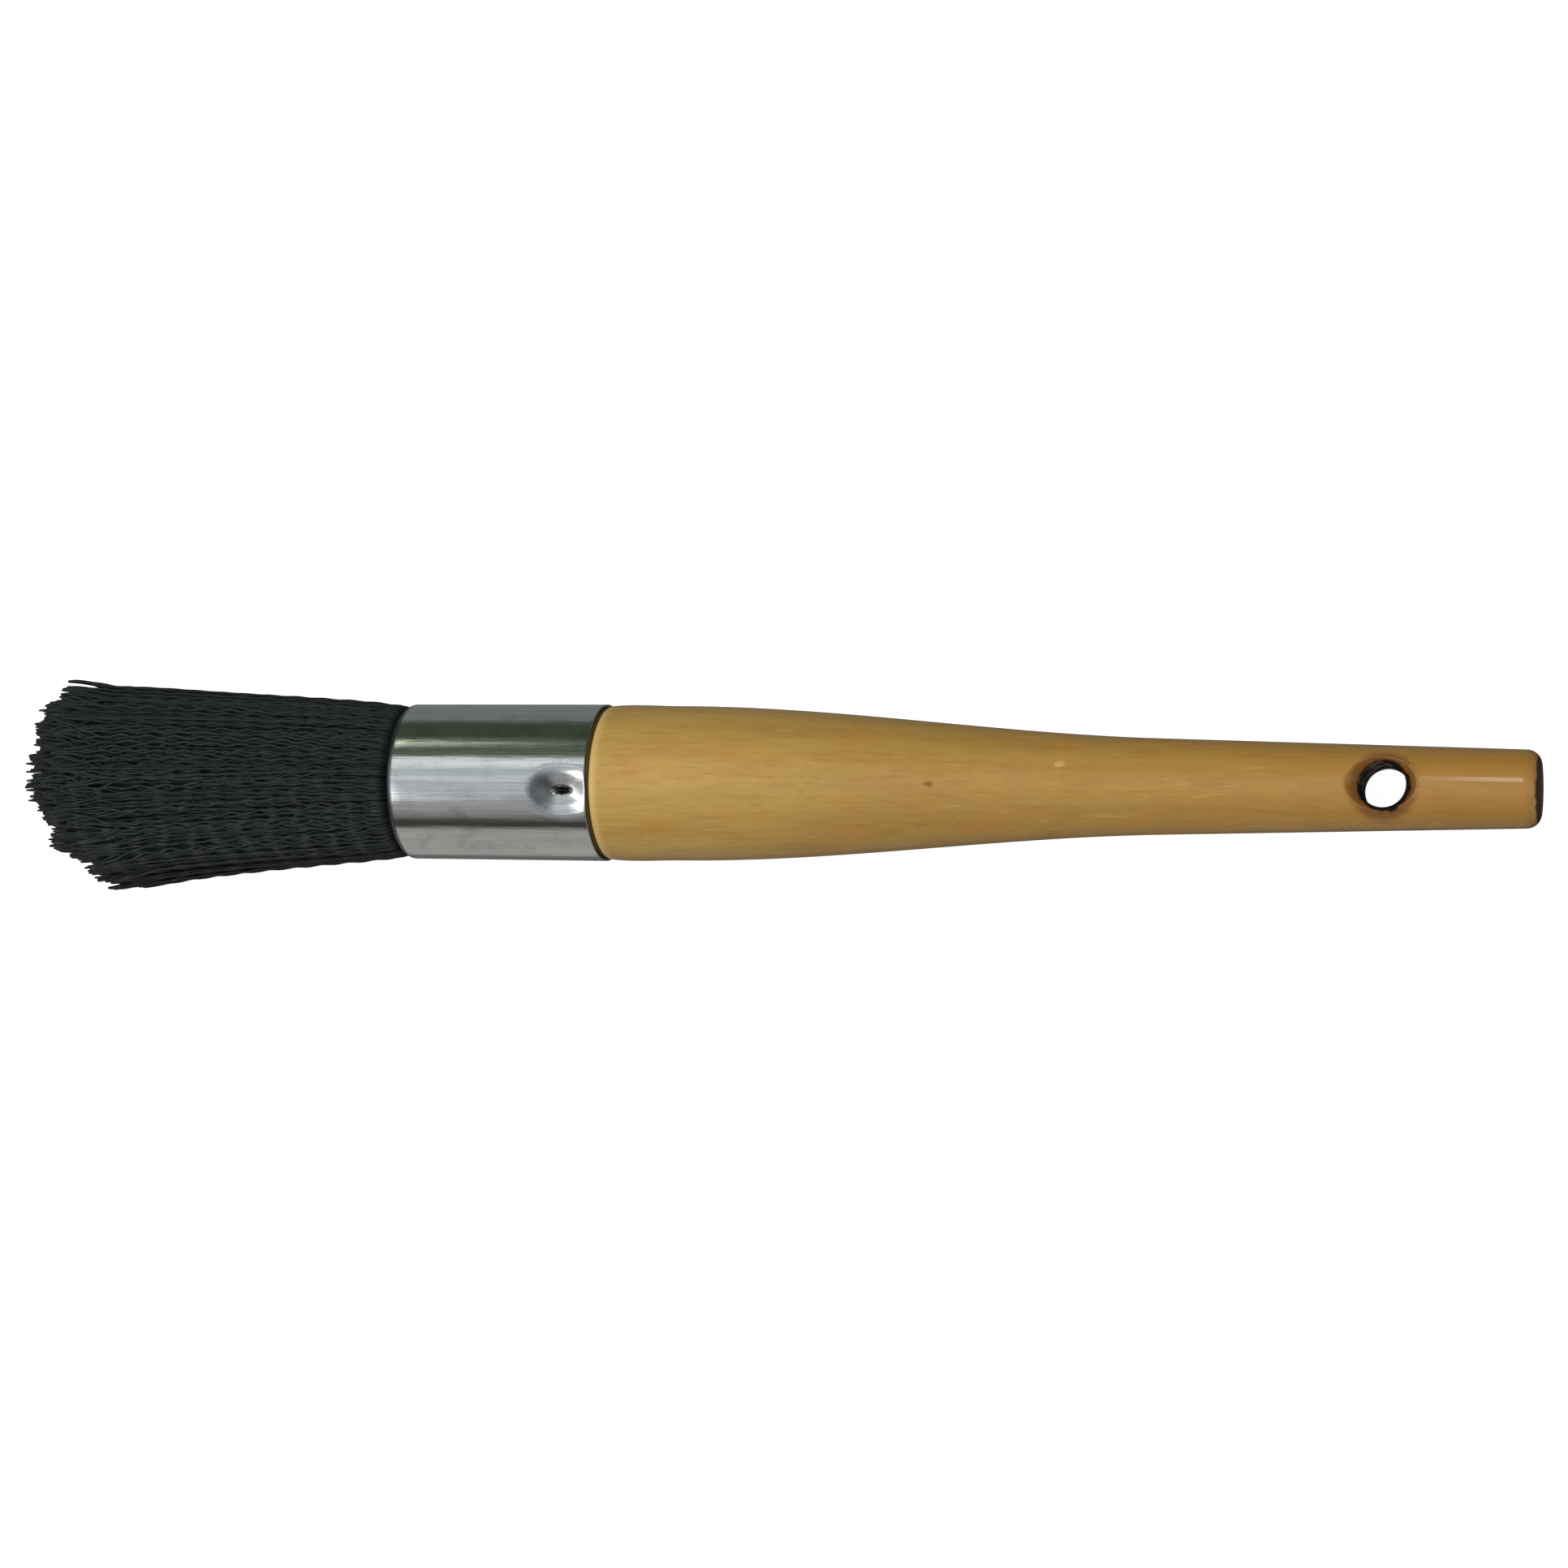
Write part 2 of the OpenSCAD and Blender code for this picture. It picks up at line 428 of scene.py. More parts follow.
MIDDLE_SHARE = 0.7
FILAMENT_GROUPS = (
    # name, from share, to share, sides, rings, depth below the trim where the fine rings begin,
    # number of pieces
    ("outer", OUTER_SHARE, 1.01, 5, 116, None, 6),
    ("middle", MIDDLE_SHARE, OUTER_SHARE, 4, 90, None, 3),
    ("inner", 0.0, MIDDLE_SHARE, 4, 36, 22 * MM, 3),
)


def knot_radius(u):
    """Radius of the knot at u past the ferrule's mouth, out to the rim."""
    at = np.array([0, 1.5, 4, 16, 27, 39, 49, 57, 75]) * MM
    radius = np.array([12.3, 13.25, 13.65, 14.85, 15.8, 16.9, 17.95, 18.7, 19.6]) * MM
    inside = np.interp(u, np.array([-3, 0]) * MM, np.array([12.7, 12.3]) * MM)
    return np.where(u < 0, inside, hermite(at, radius, np.maximum(u, 0)))


def tufts(share, turn, rng):
    """Number of the tuft that each filament's tip gathers into, and every tuft's middle."""
    index = np.arange(TUFTS)
    out = np.sqrt((index + 0.5) / TUFTS)
    angle = index * GOLDEN_ANGLE + rng.normal(0, 0.25, TUFTS) / math.sqrt(TUFTS) / out
    out = out * (1 + np.abs(rng.normal(0, 0.025, TUFTS)) * (out > 0.9))
    middles = np.stack([out * np.cos(angle), out * np.sin(angle)], axis=-1)
    tips = np.stack([share * np.cos(turn), share * np.sin(turn)], axis=-1)
    away = np.linalg.norm(tips[:, None] - middles[None], axis=-1)
    return away.argmin(axis=1), middles


def trim_length(share, turn, tuft, rng):
    """Where each filament is cut, past the mouth: a dome, skewed, with ragged tufts."""
    knot = knot_dome()
    across = share * knot["rim_r"]
    drop = knot["dome_r"] - np.sqrt(knot["dome_r"] ** 2 - across ** 2)
    skew = TRIM_SKEW * across * np.sin(turn)
    uneven = rng.normal(-2.6 * MM, 1.35 * MM, TUFTS)[tuft]
    ragged = rng.normal(0, 0.28 * MM, len(share))
    stray = np.where(rng.random(len(share)) < 0.04, rng.normal(0.6 * MM, 0.5 * MM, len(share)), 0)
    return knot["length"] - TRIM_DOME * drop + skew + uneven + ragged + stray


def knot_dome():
    """The trim's dome, from the CAD knot: its length from the mouth, rim radius and radius."""
    points = node_points("filament_knot")
    radius = np.hypot(points[:, 1], points[:, 2])
    rim = radius.argmax()
    height = points[rim, 0] - TIP_X
    rim_r = radius[rim]
    return {"length": MOUTH_X - TIP_X, "rim_r": rim_r,
            "dome_r": (rim_r ** 2 + height ** 2) / (2 * height)}


def filament_lines(rng):
    """Each filament's place in the knot, trim, lean, crimp and shade, as one dict of arrays."""
    index = np.arange(FILAMENTS)
    share = np.sqrt((index + 0.5) / FILAMENTS)
    turn = index * GOLDEN_ANGLE
    spacing = 1 / math.sqrt(FILAMENTS)
    share = np.clip(share + rng.normal(0, 0.35 * spacing, FILAMENTS), 0.005, 1)
    turn = turn + rng.normal(0, 0.35 * spacing, FILAMENTS) / share
    inward = np.where(share > 0.9, -1, rng.choice([-1, 1], FILAMENTS))
    tuft, middles = tufts(share, turn, rng)
    # crimps lie more in step on the -y side
    scatter = np.where(np.sin(turn) < 0.1, 1.1, 1.7)
    return {
        "share": share,
        "turn": turn,
        "tuft_y": middles[tuft, 1],
        "tuft_z": middles[tuft, 0],
        "trim": trim_length(share, turn, tuft, rng),
        "lean_out": inward * np.abs(rng.normal(0, 0.012, FILAMENTS)),
        "lean_round": rng.normal(0, 0.035, FILAMENTS),
        "crimp_turn": rng.normal(0, 1.0, FILAMENTS),
        "crimp_phase": 1.2 * np.sin(3 * turn) + scatter * rng.normal(0, 1.0, FILAMENTS),
        "crimp_depth": CRIMP_DEPTH * rng.uniform(0.6, 1.4, FILAMENTS)
                       * np.interp(share * np.abs(np.sin(turn)), [0.8, 0.95], [1.4, 0.5])
                       * np.interp(share, [0.93, 1], [1, 0.7]),
        "crimp_pitch": CRIMP_PITCH * rng.uniform(0.985, 1.015, FILAMENTS),
        "shade": rng.random(FILAMENTS),
    }


def centre_lines(f, rings, fine_from):
    """Centre points of filaments f, shaped (filament, ring, 3), in brush coordinates."""
    share, turn, trim = (f[k][:, None] for k in ("share", "turn", "trim"))
    root = MOUTH_X - ROOT_X
    inside = np.linspace(root, -ROOT_END, 4)[None, :-1] + 0 * share
    start = np.full_like(trim, -ROOT_END)
    if fine_from:
        coarse = np.linspace(0, 1, 10)[None, :-1]
        inside = np.concatenate([inside, start + coarse * (trim - fine_from - start)], axis=1)
        start = trim - fine_from
    fine = np.linspace(0, 1, rings - inside.shape[1])[None]
    u = np.concatenate([inside, start + fine * (trim - start)], axis=1)

    free = np.clip(u, 0, None)
    radius = share * (knot_radius(u) - FILAMENT_R) + f["lean_out"][:, None] * free
    swung = turn + f["lean_round"][:, None] * free / np.maximum(radius, 2 * MM)
    wave = 2 * math.pi * u / f["crimp_pitch"][:, None] + f["crimp_phase"][:, None]
    swing = f["crimp_depth"][:, None] * np.sin(wave) * smooth_step(-1 * MM, 5 * MM, u)
    outward_swing = swing * np.cos(f["crimp_turn"])[:, None]
    round_swing = swing * np.sin(f["crimp_turn"])[:, None]
    radius = radius + outward_swing
    y = radius * np.sin(swung) + round_swing * np.cos(swung)
    z = radius * np.cos(swung) - round_swing * np.sin(swung)
    pull = TUFT_PULL * smooth_step(trim - TUFT_REACH, trim, u)
    y = y + pull * (f["tuft_y"][:, None] * knot_radius(u) - y)
    z = z + pull * (f["tuft_z"][:, None] * knot_radius(u) - z)
    y = y - HEAD_BEND * free ** 2 / (2 * BEND_AT)
    return np.stack([MOUTH_X - u, y, z], axis=-1)


def above_floor(points):
    """Points in brush coordinates, with those near the floor pressed up onto it."""
    placed = laid(points)
    height = placed[..., 2] - FILAMENT_R
    soft = 0.15 * MM
    placed[..., 2] = FILAMENT_R + soft * np.logaddexp(0, height / soft)
    return unlaid(placed)


def filament_tubes(centres, sides):
    """Points and faces of round filaments along centres, each closed by a blunt end."""
    count, rings = centres.shape[:2]
    ahead = np.gradient(centres, axis=1)
    ahead /= np.linalg.norm(ahead, axis=-1, keepdims=True)
    up = np.array([0.0, 0.0, 1.0])
    first = up - ahead * (ahead @ up)[..., None]
    first /= np.linalg.norm(first, axis=-1, keepdims=True)
    second = np.cross(ahead, first)
    radius = np.full(rings, FILAMENT_R)
    radius[-1] *= TIP_SHARE
    turn = np.arange(sides) * 2 * math.pi / sides
    ring = (np.cos(turn)[:, None] * first[..., None, :]
            + np.sin(turn)[:, None] * second[..., None, :])
    points = centres[..., None, :] + radius[:, None, None] * ring
    quads = grid_faces(rings, sides)
    starts = (np.arange(count) * rings * sides)[:, None]
    walls = (starts[..., None] + quads[None]).reshape(-1, 4)
    j = np.arange(sides)
    tips = starts + (rings - 1) * sides + j
    roots = starts + j[::-1]
    return points.reshape(-1, 3), [walls, tips, roots]


def filament_pieces():
    """The knot, in pieces small enough to export whole."""
    rng = np.random.default_rng(7)
    lines = filament_lines(rng)
    pieces = []
    for name, low, high, sides, rings, fine_from, parts in FILAMENT_GROUPS:
        chosen = np.flatnonzero((lines["share"] >= low) & (lines["share"] < high))
        for part in range(parts):
            f = {key: values[chosen[part::parts]] for key, values in lines.items()}
            centres = above_floor(centre_lines(f, rings, fine_from))
            points, polygons = filament_tubes(centres, sides)
            piece = new_piece(f"filaments_{name}_{part + 1}", points, polygons, smooth_angle=None)
            shade = np.repeat(f["shade"], rings * sides).astype(np.float32)
            piece.data.attributes.new("shade", "FLOAT", "POINT").data.foreach_set("value", shade)
            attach(piece, "root")
            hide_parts("filament_knot")
            pieces.append(piece)
    return pieces


# ---------------------------------------------------------------------------------------------
# Materials
# ---------------------------------------------------------------------------------------------

class Shader:
    """A material's node tree, with short calls for the nodes that the materials share."""

    def __init__(self, name):
        self.material = bpy.data.materials.new(name)
        self.material.use_nodes = True
        self.tree = self.material.node_tree
        self.surface = self.tree.nodes["Principled BSDF"]
        self.places = {}

    def put(self, node, sockets):
        """Links each of a node's sockets to another socket, or sets its value."""
        for name, value in sockets.items():
            socket = node.inputs[name]
            if isinstance(value, bpy.types.NodeSocket):
                self.tree.links.new(value, socket)
            else:
                socket.default_value = value

    def node(self, kind, sockets, output=0, **settings):
        """Adds a node and gives back one of its outputs."""
        node = self.tree.nodes.new("ShaderNode" + kind)
        for name, value in settings.items():
            setattr(node, name, value)
        self.put(node, sockets)
        return node.outputs[output]

    def set(self, **sockets):
        """Sets the Principled shader's sockets, with _ for a space in their names."""
        self.put(self.surface, {name.replace("_", " "): v for name, v in sockets.items()})

    def place(self, stretch=(1, 1, 1)):
        """Brush coordinates in millimetres, each divided by its stretch."""
        if "brush" not in self.places:
            sockets = {"Vector": self.node("TexCoord", {}, "Object"),
                       "Location": tuple(LAY.translation),
                       "Rotation": tuple(LAY.to_euler()),
                       "Scale": (MM, MM, MM)}
            self.places["brush"] = self.node("Mapping", sockets, vector_type="TEXTURE")
        if stretch not in self.places:
            self.places[stretch] = self.node(
                "VectorMath", {0: self.places["brush"], 1: stretch}, operation="DIVIDE")
        return self.places[stretch]

    def axis(self, letter):
        """One brush coordinate in millimetres."""
        return self.node("SeparateXYZ", {0: self.place()}, letter)

    def math(self, operation, a, b=0.0):
        """A Math node's result for a and b."""
        return self.node("Math", {0: a, 1: b}, operation=operation)

    def noise(self, stretch, detail, rough=0.5):
        """Noise whose lumps are about stretch millimetres long on each axis."""
        sockets = {"Vector": self.place(stretch), "Scale": 1.0, "Detail": detail,
                   "Roughness": rough}
        return self.node("TexNoise", sockets, "Fac")

    def span(self, value, low, high, to_low=0.0, to_high=1.0):
        """value from low..high to to_low..to_high by a smooth curve, held at the ends."""
        sockets = {"Value": value, "From Min": low, "From Max": high,
                   "To Min": to_low, "To Max": to_high}
        return self.node("MapRange", sockets, "Result",
                         interpolation_type="SMOOTHSTEP", clamp=True)

    def mix(self, share, a, b):
        """Colours a and b mixed by share: sockets 6 and 7 are the Mix node's two colours."""
        return self.node("Mix", {0: share, 6: a, 7: b}, 2, data_type="RGBA")

    def bump(self, height, distance, strength, normal=None):
        """A normal bent by height, on top of another normal."""
        sockets = {"Height": height, "Distance": distance, "Strength": strength}
        if normal is not None:
            sockets["Normal"] = normal
        return self.node("Bump", sockets)


def colour(red, green, blue):
    """A colour given as it looks on a screen, 0 to 255, for a shader socket."""
    def linear(c):
        c /= 255
        return c / 12.92 if c <= 0.04045 else ((c + 0.055) / 1.055) ** 2.4
    return linear(red), linear(green), linear(blue), 1.0


def lacquered_wood():
    """Streaked pale wood under lacquer, dark at the hole and the butt's edge, with a painted shadow
    at the shoulder and a painted highlight beside it.
    """
    s = Shader("lacquered_wood")
    x = s.axis("X")
    y = s.axis("Y")
    butt_x = BUTT_X / MM
    hole_x = HOLE_X / MM
    hole_r = HOLE_R / MM

    tone = s.mix(s.span(x, 0, 60), colour(177, 143, 75), colour(162, 127, 61))
    tone = s.mix(s.span(x, 60, butt_x), tone, colour(156, 115, 48))
    broad = s.noise((22, 3.0, 3.0), detail=3)
    tone = s.mix(s.span(broad, 0.35, 0.7, 0, 0.35), tone, colour(148, 106, 46))
    streak = s.noise((9, 0.6, 0.6), detail=4, rough=0.65)
    tone = s.mix(s.span(streak, 0.45, 0.75, 0, 0.40), tone, colour(134, 91, 38))
    pale = s.noise((6, 0.9, 0.9), detail=3, rough=0.6)
    tone = s.mix(s.span(pale, 0.56, 0.78, 0, 0.40), tone, colour(190, 156, 86))
    fleck = s.noise((1.1, 0.25, 0.25), detail=3, rough=0.7)
    tone = s.mix(s.span(fleck, 0.58, 0.74, 0, 0.45), tone, colour(116, 76, 30))
    warm = s.noise((7, 5, 5), detail=2)
    tone = s.mix(s.span(warm, 0.5, 0.72, 0, 0.35), tone, colour(174, 117, 50))

    knot = spot(s, (59.0, -1.25, 10.3), (0.8, 0.5, 1.5))
    tone = s.mix(s.math("MULTIPLY", knot, 0.65), tone, colour(96, 56, 24))
    pale_fleck = spot(s, (80.6, 2.4, 8.6), (0.9, 0.55, 1.5))
    tone = s.mix(s.math("MULTIPLY", pale_fleck, 0.5), tone, colour(206, 172, 108))

    along = s.math("SUBTRACT", x, hole_x + 0.3)
    across = s.math("ADD", y, 0.4)
    beside_hole = s.node("CombineXYZ", {0: along, 1: across, 2: 0.0})
    from_hole = s.node("VectorMath", {0: beside_hole}, "Value", operation="LENGTH")
    stain = s.noise((1.5, 1.5, 1.5), detail=2)
    from_hole = s.math("ADD", from_hole, s.span(stain, 0.2, 0.8, -0.25, 0.25))
    halo = s.span(from_hole, hole_r + 1.0, hole_r + 2.6, 0.8, 0)
    tone = s.mix(halo, tone, colour(104, 62, 24))
    bare = s.span(from_hole, hole_r + 0.3, hole_r + 0.75, 1, 0)
    tone = s.mix(bare, tone, colour(20, 10, 6))
    end = s.math("ADD", x, s.span(stain, 0.2, 0.8, -0.12, 0.12))
    dark_edge = s.span(end, butt_x - 0.8, butt_x - 0.45)
    tone = s.mix(s.math("MULTIPLY", dark_edge, 0.97), tone, colour(46, 29, 13))
    pores = s.noise((0.5, 0.5, 0.5), detail=3)
    end_grain = s.mix(s.span(pores, 0.35, 0.7), colour(92, 60, 29), colour(58, 36, 16))
    tone = s.mix(s.span(x, butt_x - 0.12, butt_x - 0.03), tone, end_grain)
    # painted highlight: a pale band on the shoulder's rounded edge
    tone = s.mix(s.span(x, 1.0, 2.6, 0.55, 0), tone, colour(206, 178, 112))
    # painted shadow: a dark line at the shoulder, in the gap beside the ferrule's edge
    tone = s.mix(s.span(x, 0.5, 1.0, 0.92, 0), tone, colour(34, 22, 12))

    gloss = s.noise((7, 2.5, 2.5), detail=3)
    grain_bump = s.bump(streak, 0.05 * MM, 0.35)
    ripple = s.bump(s.noise((5, 2.2, 2.2), detail=1), 0.10 * MM, 0.5, normal=grain_bump)
    dull = s.math("MAXIMUM", bare, s.math("MULTIPLY", dark_edge, 0.8))
    rough = s.math("MAXIMUM", s.span(gloss, 0.3, 0.7, 0.36, 0.52), s.math("MULTIPLY", dull, 0.9))
    lacquer = s.math("MULTIPLY", s.span(x, 95, 145, 0.25, 0.9), s.math("SUBTRACT", 1.0, dull))
    s.set(Base_Color=tone, Roughness=rough, Normal=ripple, Coat_Weight=lacquer,
          Coat_Roughness=0.095, Coat_IOR=1.5, IOR=1.5, Specular_IOR_Level=0.35)
    return s.material


def spot(s, centre, size):
    """1 in the middle of an ellipsoid about centre, in millimetres, and 0 outside it."""
    away = s.node("VectorMath", {0: s.place(), 1: centre}, operation="SUBTRACT")
    away = s.node("VectorMath", {0: away, 1: size}, operation="DIVIDE")
    length = s.node("VectorMath", {0: away}, "Value", operation="LENGTH")
    wobble = s.span(s.noise((0.8, 0.4, 0.4), detail=1), 0.2, 0.8, -0.3, 0.3)
    return s.span(s.math("ADD", length, wobble), 0.5, 1.3, 1, 0)


def plated_steel():
    """Bright sheet with fine draw lines and smudges, and painted shade in the stakes' points and at
    the lip.
    """
    s = Shader("plated_steel")
    draw = s.noise((30, 0.2, 0.2), detail=4, rough=0.65)
    smudge = s.noise((5, 4, 4), detail=5, rough=0.65)
    film = s.noise((9, 2.2, 2.2), detail=3)
    speck = s.noise((0.5, 0.35, 0.35), detail=1)
    tone = s.mix(s.span(draw, 0.3, 0.7), colour(206, 208, 208), colour(236, 237, 237))
    tone = s.mix(s.span(smudge, 0.48, 0.72, 0, 0.55), tone, colour(176, 179, 178))
    tone = s.mix(s.span(speck, 0.70, 0.8, 0, 0.4), tone, colour(140, 140, 136))
    mouth = MOUTH_X / MM
    # painted shade: a dark band on the lip's curl at the mouth, which also hides the lip's
    # highlight
    lip_shade = s.span(s.axis("X"), mouth + 0.85, mouth + 1.35, 0.8, 0)
    # painted shade of the stakes' points and of the lip darkens the sheet here and makes it rougher
    painted_shade = s.math("MAXIMUM", stake_point_shade(s), lip_shade)
    tone = s.mix(painted_shade, tone, colour(40, 40, 40))
    rough = s.math("ADD", s.span(smudge, 0.35, 0.75, 0.07, 0.15),
                   s.span(draw, 0.45, 0.75, 0, 0.05))
    rough = s.math("ADD", rough, s.span(film, 0.4, 0.7, 0, 0.04))
    rough = s.math("MAXIMUM", rough, s.math("MULTIPLY", painted_shade, 0.5))
    scratch = s.bump(draw, 0.02 * MM, 0.5)
    rolled = s.bump(s.noise((12, 1.4, 1.4), detail=2), 0.05 * MM, 0.5, normal=scratch)
    s.set(Base_Color=tone, Metallic=1.0, Roughness=rough, Normal=rolled)
    return s.material


def stake_point_shade(s):
    """1 in the point of each stake, where shade is painted, and 0 outside it."""
    x = (STAKE_X + POINT_SHIFT) / MM + 0.4
    radius = (FERRULE_R - STAKE_DEPTH - POINT_DEPTH / 2) / MM
    # painted shade: a dark spot in each stake's point, where the dent's hollow falls into shade
    point_shade = 0.0
    for turn in STAKE_TURNS:
        middle = (x, radius * math.sin(turn), radius * math.cos(turn))
        point_shade = s.math("MAXIMUM", point_shade, spot(s, middle, (1.8, 0.85, 1.2)))
    return point_shade


def black_filament():
    """Black filament with painted highlights in bands along its crimps, and painted shade
    underneath and where it goes into the ferrule's mouth.
    """
    s = Shader("black_filament")
    x = s.axis("X")
    mouth = MOUTH_X / MM
    shade = s.node("Attribute", {}, "Fac", attribute_name="shade")
    tip = s.span(x, TIP_X / MM, TIP_X / MM + 22, 1, 0)
    dust = s.noise((2.5, 1.2, 1.2), detail=3)
    tone = s.mix(shade, colour(28, 32, 31), colour(34, 39, 38))
    tone = s.mix(s.span(dust, 0.45, 0.75, 0, 0.4), tone, colour(46, 50, 49))
    wander = s.math("MULTIPLY", s.noise((9, 6, 6), detail=2), 9.0)
    # painted highlight: pale bands at the crimp pitch, stronger towards -y, standing in for lit
    # crimp crests
    turns = s.math("MULTIPLY", x, 2 * math.pi * MM / CRIMP_PITCH)
    crest_highlight = s.span(s.math("SINE", s.math("ADD", turns, wander)), 0.2, 1.0)
    crest_highlight = s.math("MULTIPLY", crest_highlight, s.span(s.axis("Y"), -13, 2, 0.42, 0.1))
    tone = s.mix(crest_highlight, tone, colour(56, 60, 58))
    tone = s.mix(s.math("MULTIPLY", tip, 0.2), tone, colour(30, 32, 31))
    # painted shade: darker towards the knot's underside
    tone = s.mix(s.span(s.axis("Z"), 2, 8, 0.5, 0), tone, colour(8, 10, 10))
    # painted shade: near black where the filaments go into the ferrule's mouth
    tone = s.mix(s.span(x, mouth - 1.8, mouth - 0.5, 0, 0.85), tone, colour(3, 4, 4))
    fine = s.noise((0.9, 0.12, 0.12), detail=2)
    rough = s.span(dust, 0.3, 0.7, 0.45, 0.65)
    s.set(Base_Color=tone, Roughness=rough, Normal=s.bump(fine, 0.01 * MM, 0.4),
          IOR=1.5, Specular_IOR_Level=0.4)
    return s.material


def cured_resin():
    """Cloudy amber."""
    s = Shader("cured_resin")
    cloud = s.noise((3, 2, 2), detail=4)
    tone = s.mix(s.span(cloud, 0.35, 0.7), colour(150, 96, 30), colour(104, 58, 14))
    s.set(Base_Color=tone, Roughness=s.span(cloud, 0.3, 0.7, 0.12, 0.3),
          Normal=s.bump(cloud, 0.1 * MM, 0.4), IOR=1.55)
    return s.material


def paper():
    """White paper that glows enough to be lit evenly all over."""
    s = Shader("paper")
    grain = s.noise((2, 2, 2), detail=2)
    tone = s.mix(grain, (0.40, 0.40, 0.40, 1), (0.42, 0.42, 0.42, 1))
    s.set(Base_Color=tone, Roughness=0.9, Specular_IOR_Level=0.0,
          Emission_Color=(1, 1, 1, 1), Emission_Strength=0.85)
    return s.material


def wear(piece, material):
    """Gives a piece, or a CAD node through its object's slots, one material."""
    if not piece.material_slots:
        piece.data.materials.append(None)
    for slot in piece.material_slots:
        slot.link = "OBJECT"
        slot.material = material


# ---------------------------------------------------------------------------------------------
# Studio
# ---------------------------------------------------------------------------------------------

FLOOR_R = 1.1                         # of the flat part of the paper
BACKDROP_R = 2.4                      # of the paper's rim
BACKDROP_HEIGHT = 1.6


def studio_floor():
    """A round sheet of pale paper that curves up far behind the brush."""
    shares = np.linspace(0, 1, 60)
    out = BACKDROP_R * shares
    rise = np.maximum(out - FLOOR_R, 0) / (BACKDROP_R - FLOOR_R)
    height = BACKDROP_HEIGHT * rise ** 2.2 - 0.02 * MM
    turn = np.arange(96) * 2 * math.pi / 96
    x = out[:, None] * np.cos(turn)
    y = out[:, None] * np.sin(turn)
    points = np.stack(np.broadcast_arrays(x, y, height[:, None]), axis=-1)
    faces = grid_faces(len(out), len(turn))
    mesh = bpy.data.meshes.new("studio_floor")
    mesh.from_pydata(points.reshape(-1, 3).tolist(), [], faces[:, ::-1].tolist())
    mesh.shade_smooth()
    floor = bpy.data.objects.new("studio_floor", mesh)
    bpy.context.scene.collection.objects.link(floor)
    floor.visible_glossy = False
    floor.visible_diffuse = False
    wear(floor, paper())
    return floor


def studio_light(name, place, size, power, tint=(1, 1, 1), glossy=False):
    """A soft rectangular light that faces the brush, with its size along and across it."""
    data = bpy.data.lights.new(name, "AREA")
    data.shape = "RECTANGLE"
    data.size = size[0]
    data.size_y = size[1]
    data.energy = power
    data.color = tint
    light = bpy.data.objects.new(name, data)
    light.location = place
    back = Vector(place).normalized()
    across = (Vector((0, 1, 0)) - back * back.y).normalized()
    turn = Matrix((across.cross(back), across, back)).transposed()
    light.rotation_euler = turn.to_euler()
    light.visible_glossy = glossy
    bpy.context.scene.collection.objects.link(light)
    return light


ROOM_BANDS = (
    # where each ends, in degrees from straight up towards +y, and its brightness and tint
    (-148, (0.14, 0.14, 0.14)),
    (-80, (0.385, 0.385, 0.365)),
    (-64, (0.050, 0.052, 0.045)),
    (-52, (0.23, 0.235, 0.215)),
    (-30, (0.345, 0.345, 0.355)),
    (-8, (0.49, 0.52, 0.54)),
    (5, (0.62, 0.67, 0.69)),
    (13, (0.42, 0.47, 0.47)),
    (28, (0.84, 0.88, 0.88)),
    (57, (0.098, 0.120, 0.086)),
    (92, (0.055, 0.070, 0.048)),
    (180, (0.185, 0.20, 0.195)),
)
BAND_EDGE = 2.5                       # half of the degrees over which a band turns into the next
ROOM_ALONG = (
    # part of a direction that points along +x, and the share of the room's light from there
    (-0.24, 1.0),
    (0.16, 0.28),
    (0.42, 0.28),
    (0.6, 1.0),
)


def set_ramp(ramp, ends):
    """Gives a Color Ramp node its stops, from pairs of position and colour in rising order."""
    stops = ramp.color_ramp.elements
    while len(stops) < len(ends):
        stops.new(0.5)
    for stop, (position, tint) in zip(stops, ends):
        stop.position = position
        stop.color = (*tint, 1)


def room():
    """The room that the metal and the lacquer mirror: bright above and dark green at +y."""
    world = bpy.data.worlds.new("room")
    bpy.context.scene.world = world
    world.use_nodes = True
    tree = world.node_tree
    place = tree.nodes.new("ShaderNodeTexCoord")
    split = tree.nodes.new("ShaderNodeSeparateXYZ")
    angle = tree.nodes.new("ShaderNodeMath")
    angle.operation = "ARCTAN2"
    share = tree.nodes.new("ShaderNodeMapRange")
    bands = tree.nodes.new("ShaderNodeValToRGB")
    tree.links.new(place.outputs["Generated"], split.inputs[0])
    tree.links.new(split.outputs["Y"], angle.inputs[0])
    tree.links.new(split.outputs["Z"], angle.inputs[1])
    tree.links.new(angle.outputs[0], share.inputs["Value"])
    share.inputs["From Min"].default_value = -math.pi
    share.inputs["From Max"].default_value = math.pi
    starts = (-180, *(end for end, _ in ROOM_BANDS))
    ends = []
    for start, (end, tint) in zip(starts, ROOM_BANDS):
        ends.append(((start + BAND_EDGE + 180) / 360, tint))
        ends.append(((end - BAND_EDGE + 180) / 360, tint))
    set_ramp(bands, ends)
    tree.links.new(share.outputs[0], bands.inputs["Fac"])
    tree.links.new(bands.outputs["Color"], tree.nodes["Background"].inputs["Color"])
    along = tree.nodes.new("ShaderNodeMapRange")
    along.inputs["From Min"].default_value = -1
    tree.links.new(split.outputs["X"], along.inputs["Value"])
    dimming = tree.nodes.new("ShaderNodeValToRGB")
    set_ramp(dimming, [((x + 1) / 2, (level, level, level)) for x, level in ROOM_ALONG])
    tree.links.new(along.outputs[0], dimming.inputs["Fac"])
    tree.links.new(dimming.outputs["Color"], tree.nodes["Background"].inputs["Strength"])


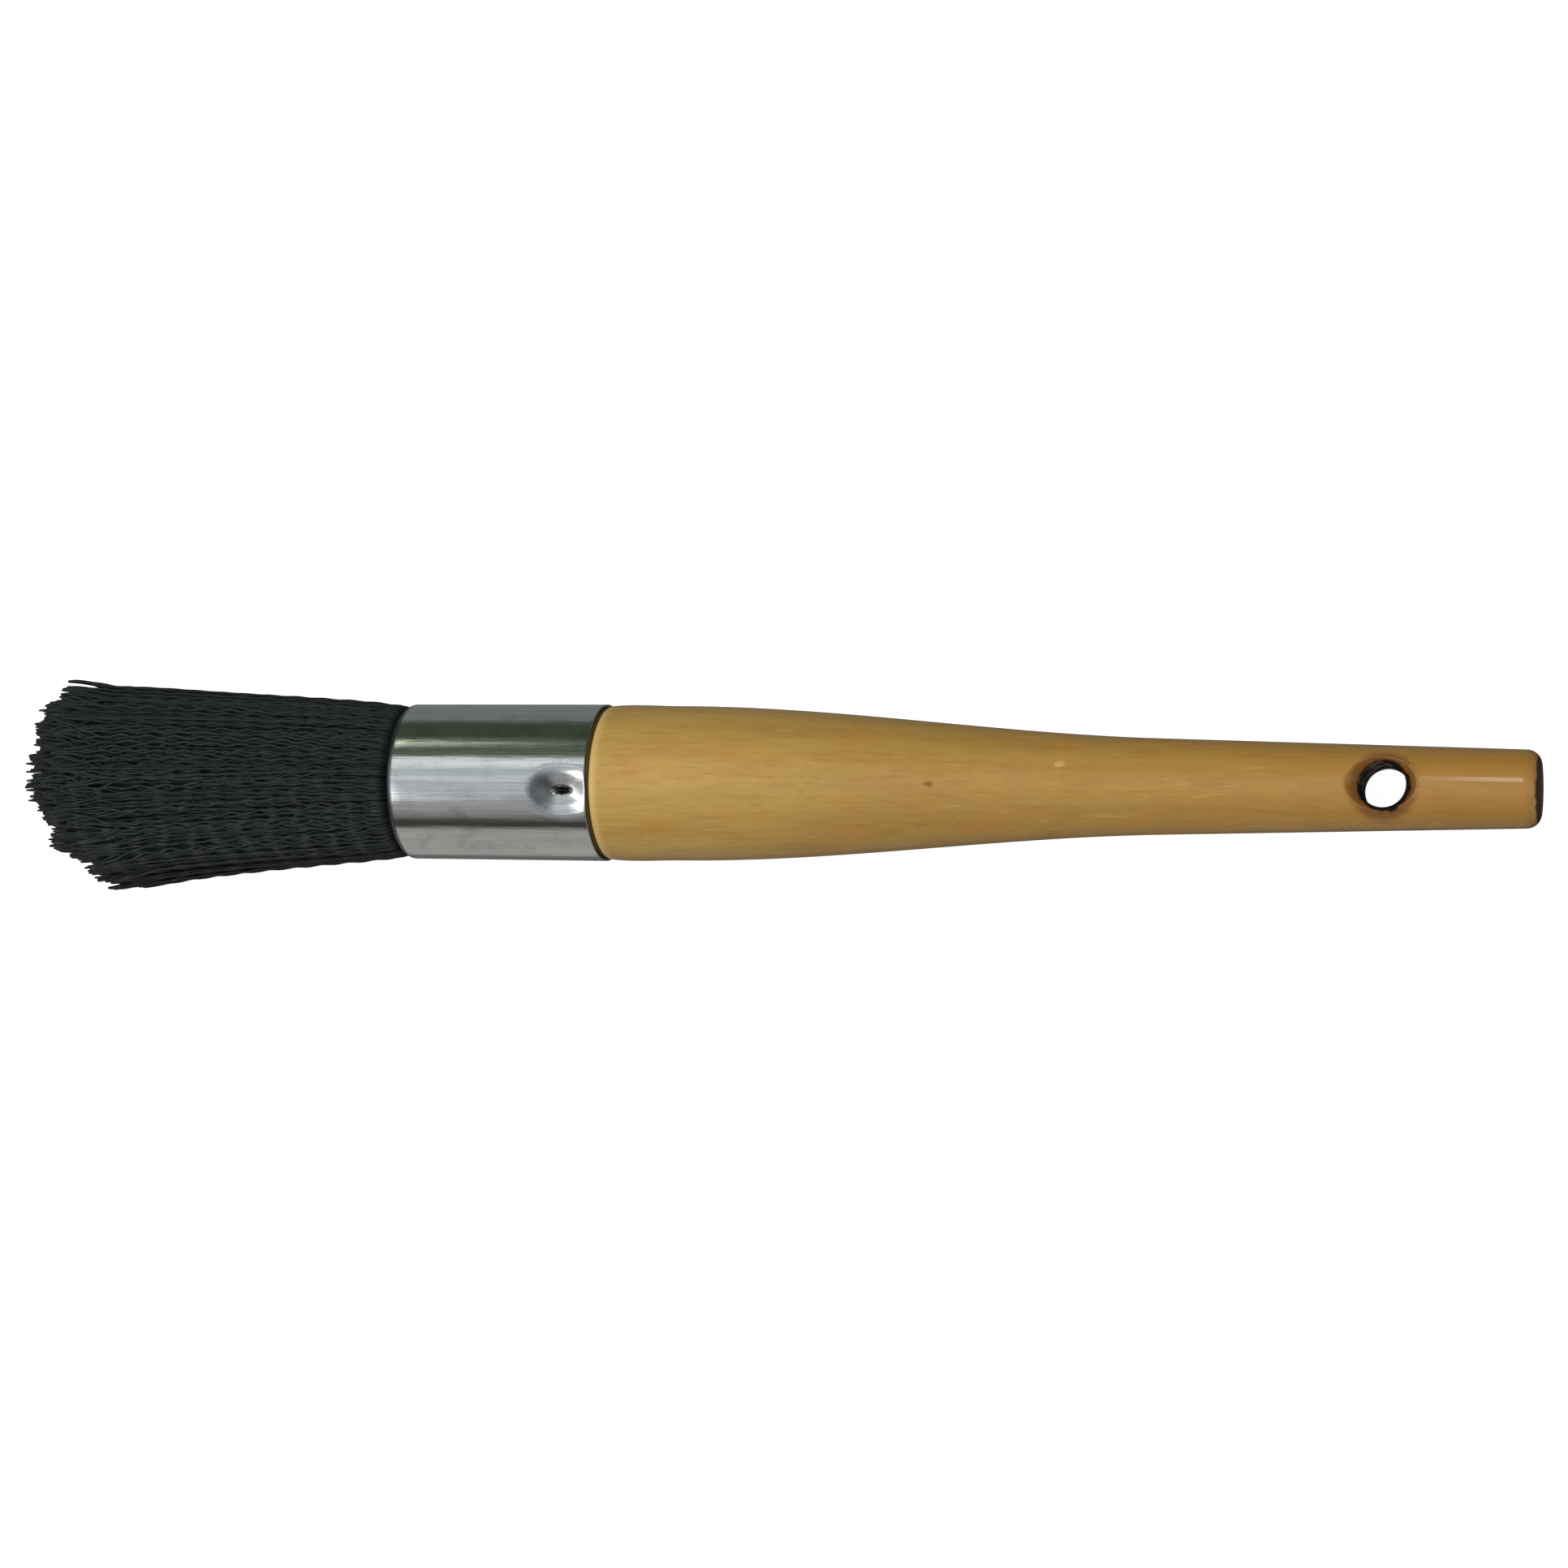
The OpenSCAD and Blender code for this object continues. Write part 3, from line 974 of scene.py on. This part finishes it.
AIM_X = 31.4 * MM                     # point of the brush's axis in the middle of the picture
CAMERA_AWAY = 621.6 * MM              # from that point
CAMERA_TILT = math.radians(15.5)      # from square to the brush, towards the handle
CAMERA_LEAN = math.radians(8)         # towards -y
CAMERA_ROLL = math.radians(0.39)      # about its line of sight
SENSOR = 36.0                         # width of the sensor, in millimetres as Blender has it
FOCAL_LENGTH = 83.85                  # in millimetres too


def camera():
    """The camera over the handle, nearly square to the brush, with the filaments at the left."""
    data = bpy.data.cameras.new("camera")
    data.sensor_width = SENSOR
    data.lens = FOCAL_LENGTH
    data.clip_start = 0.01
    data.clip_end = 20
    view = bpy.data.objects.new("camera", data)
    back = Vector((math.sin(CAMERA_TILT),
                   -math.cos(CAMERA_TILT) * math.sin(CAMERA_LEAN),
                   math.cos(CAMERA_TILT) * math.cos(CAMERA_LEAN)))
    along = Vector((1, 0, 0))
    right = (along - back * back.x).normalized()
    turn = Matrix((right, back.cross(right), back)).transposed()
    turn = turn @ Matrix.Rotation(CAMERA_ROLL, 3, "Z")
    place = Matrix.Translation(Vector((AIM_X, 0, 0)) + back * CAMERA_AWAY) @ turn.to_4x4()
    view.matrix_world = LAY @ place
    bpy.context.scene.collection.objects.link(view)
    bpy.context.scene.camera = view


def light_room():
    """Three large soft lights, and three small ones that the metal and the lacquer mirror."""
    room()
    studio_light("soft_top", (0.05, -0.05, 0.9), (0.9, 0.7), 5.85)
    studio_light("soft_front", (0.1, -0.8, 0.6), (0.9, 0.5), 2.2)
    studio_light("soft_back", (0.1, 0.8, 0.6), (0.9, 0.5), 2.6)
    studio_light("key", (-0.515, -0.27, 0.775), (0.20, 0.52), 0.53, glossy=True)
    studio_light("strip", (0.143, 0.32, 0.95), (0.028, 0.20), 0.12, glossy=True)
    studio_light("window", (-0.59, 1.05, 0.90), (0.06, 0.20), 0.065, (0.88, 1.0, 0.76), True)
    bpy.context.scene.view_settings.view_transform = "Standard"


# ---------------------------------------------------------------------------------------------
# The scene
# ---------------------------------------------------------------------------------------------


camera()
light_room()
studio_floor()
wear(ferrule_piece(), plated_steel())
wear(handle_piece(), lacquered_wood())
wear(frame["nodes"]["setting_resin"], cured_resin())
filament_material = black_filament()
for filament_piece in filament_pieces():
    wear(filament_piece, filament_material)
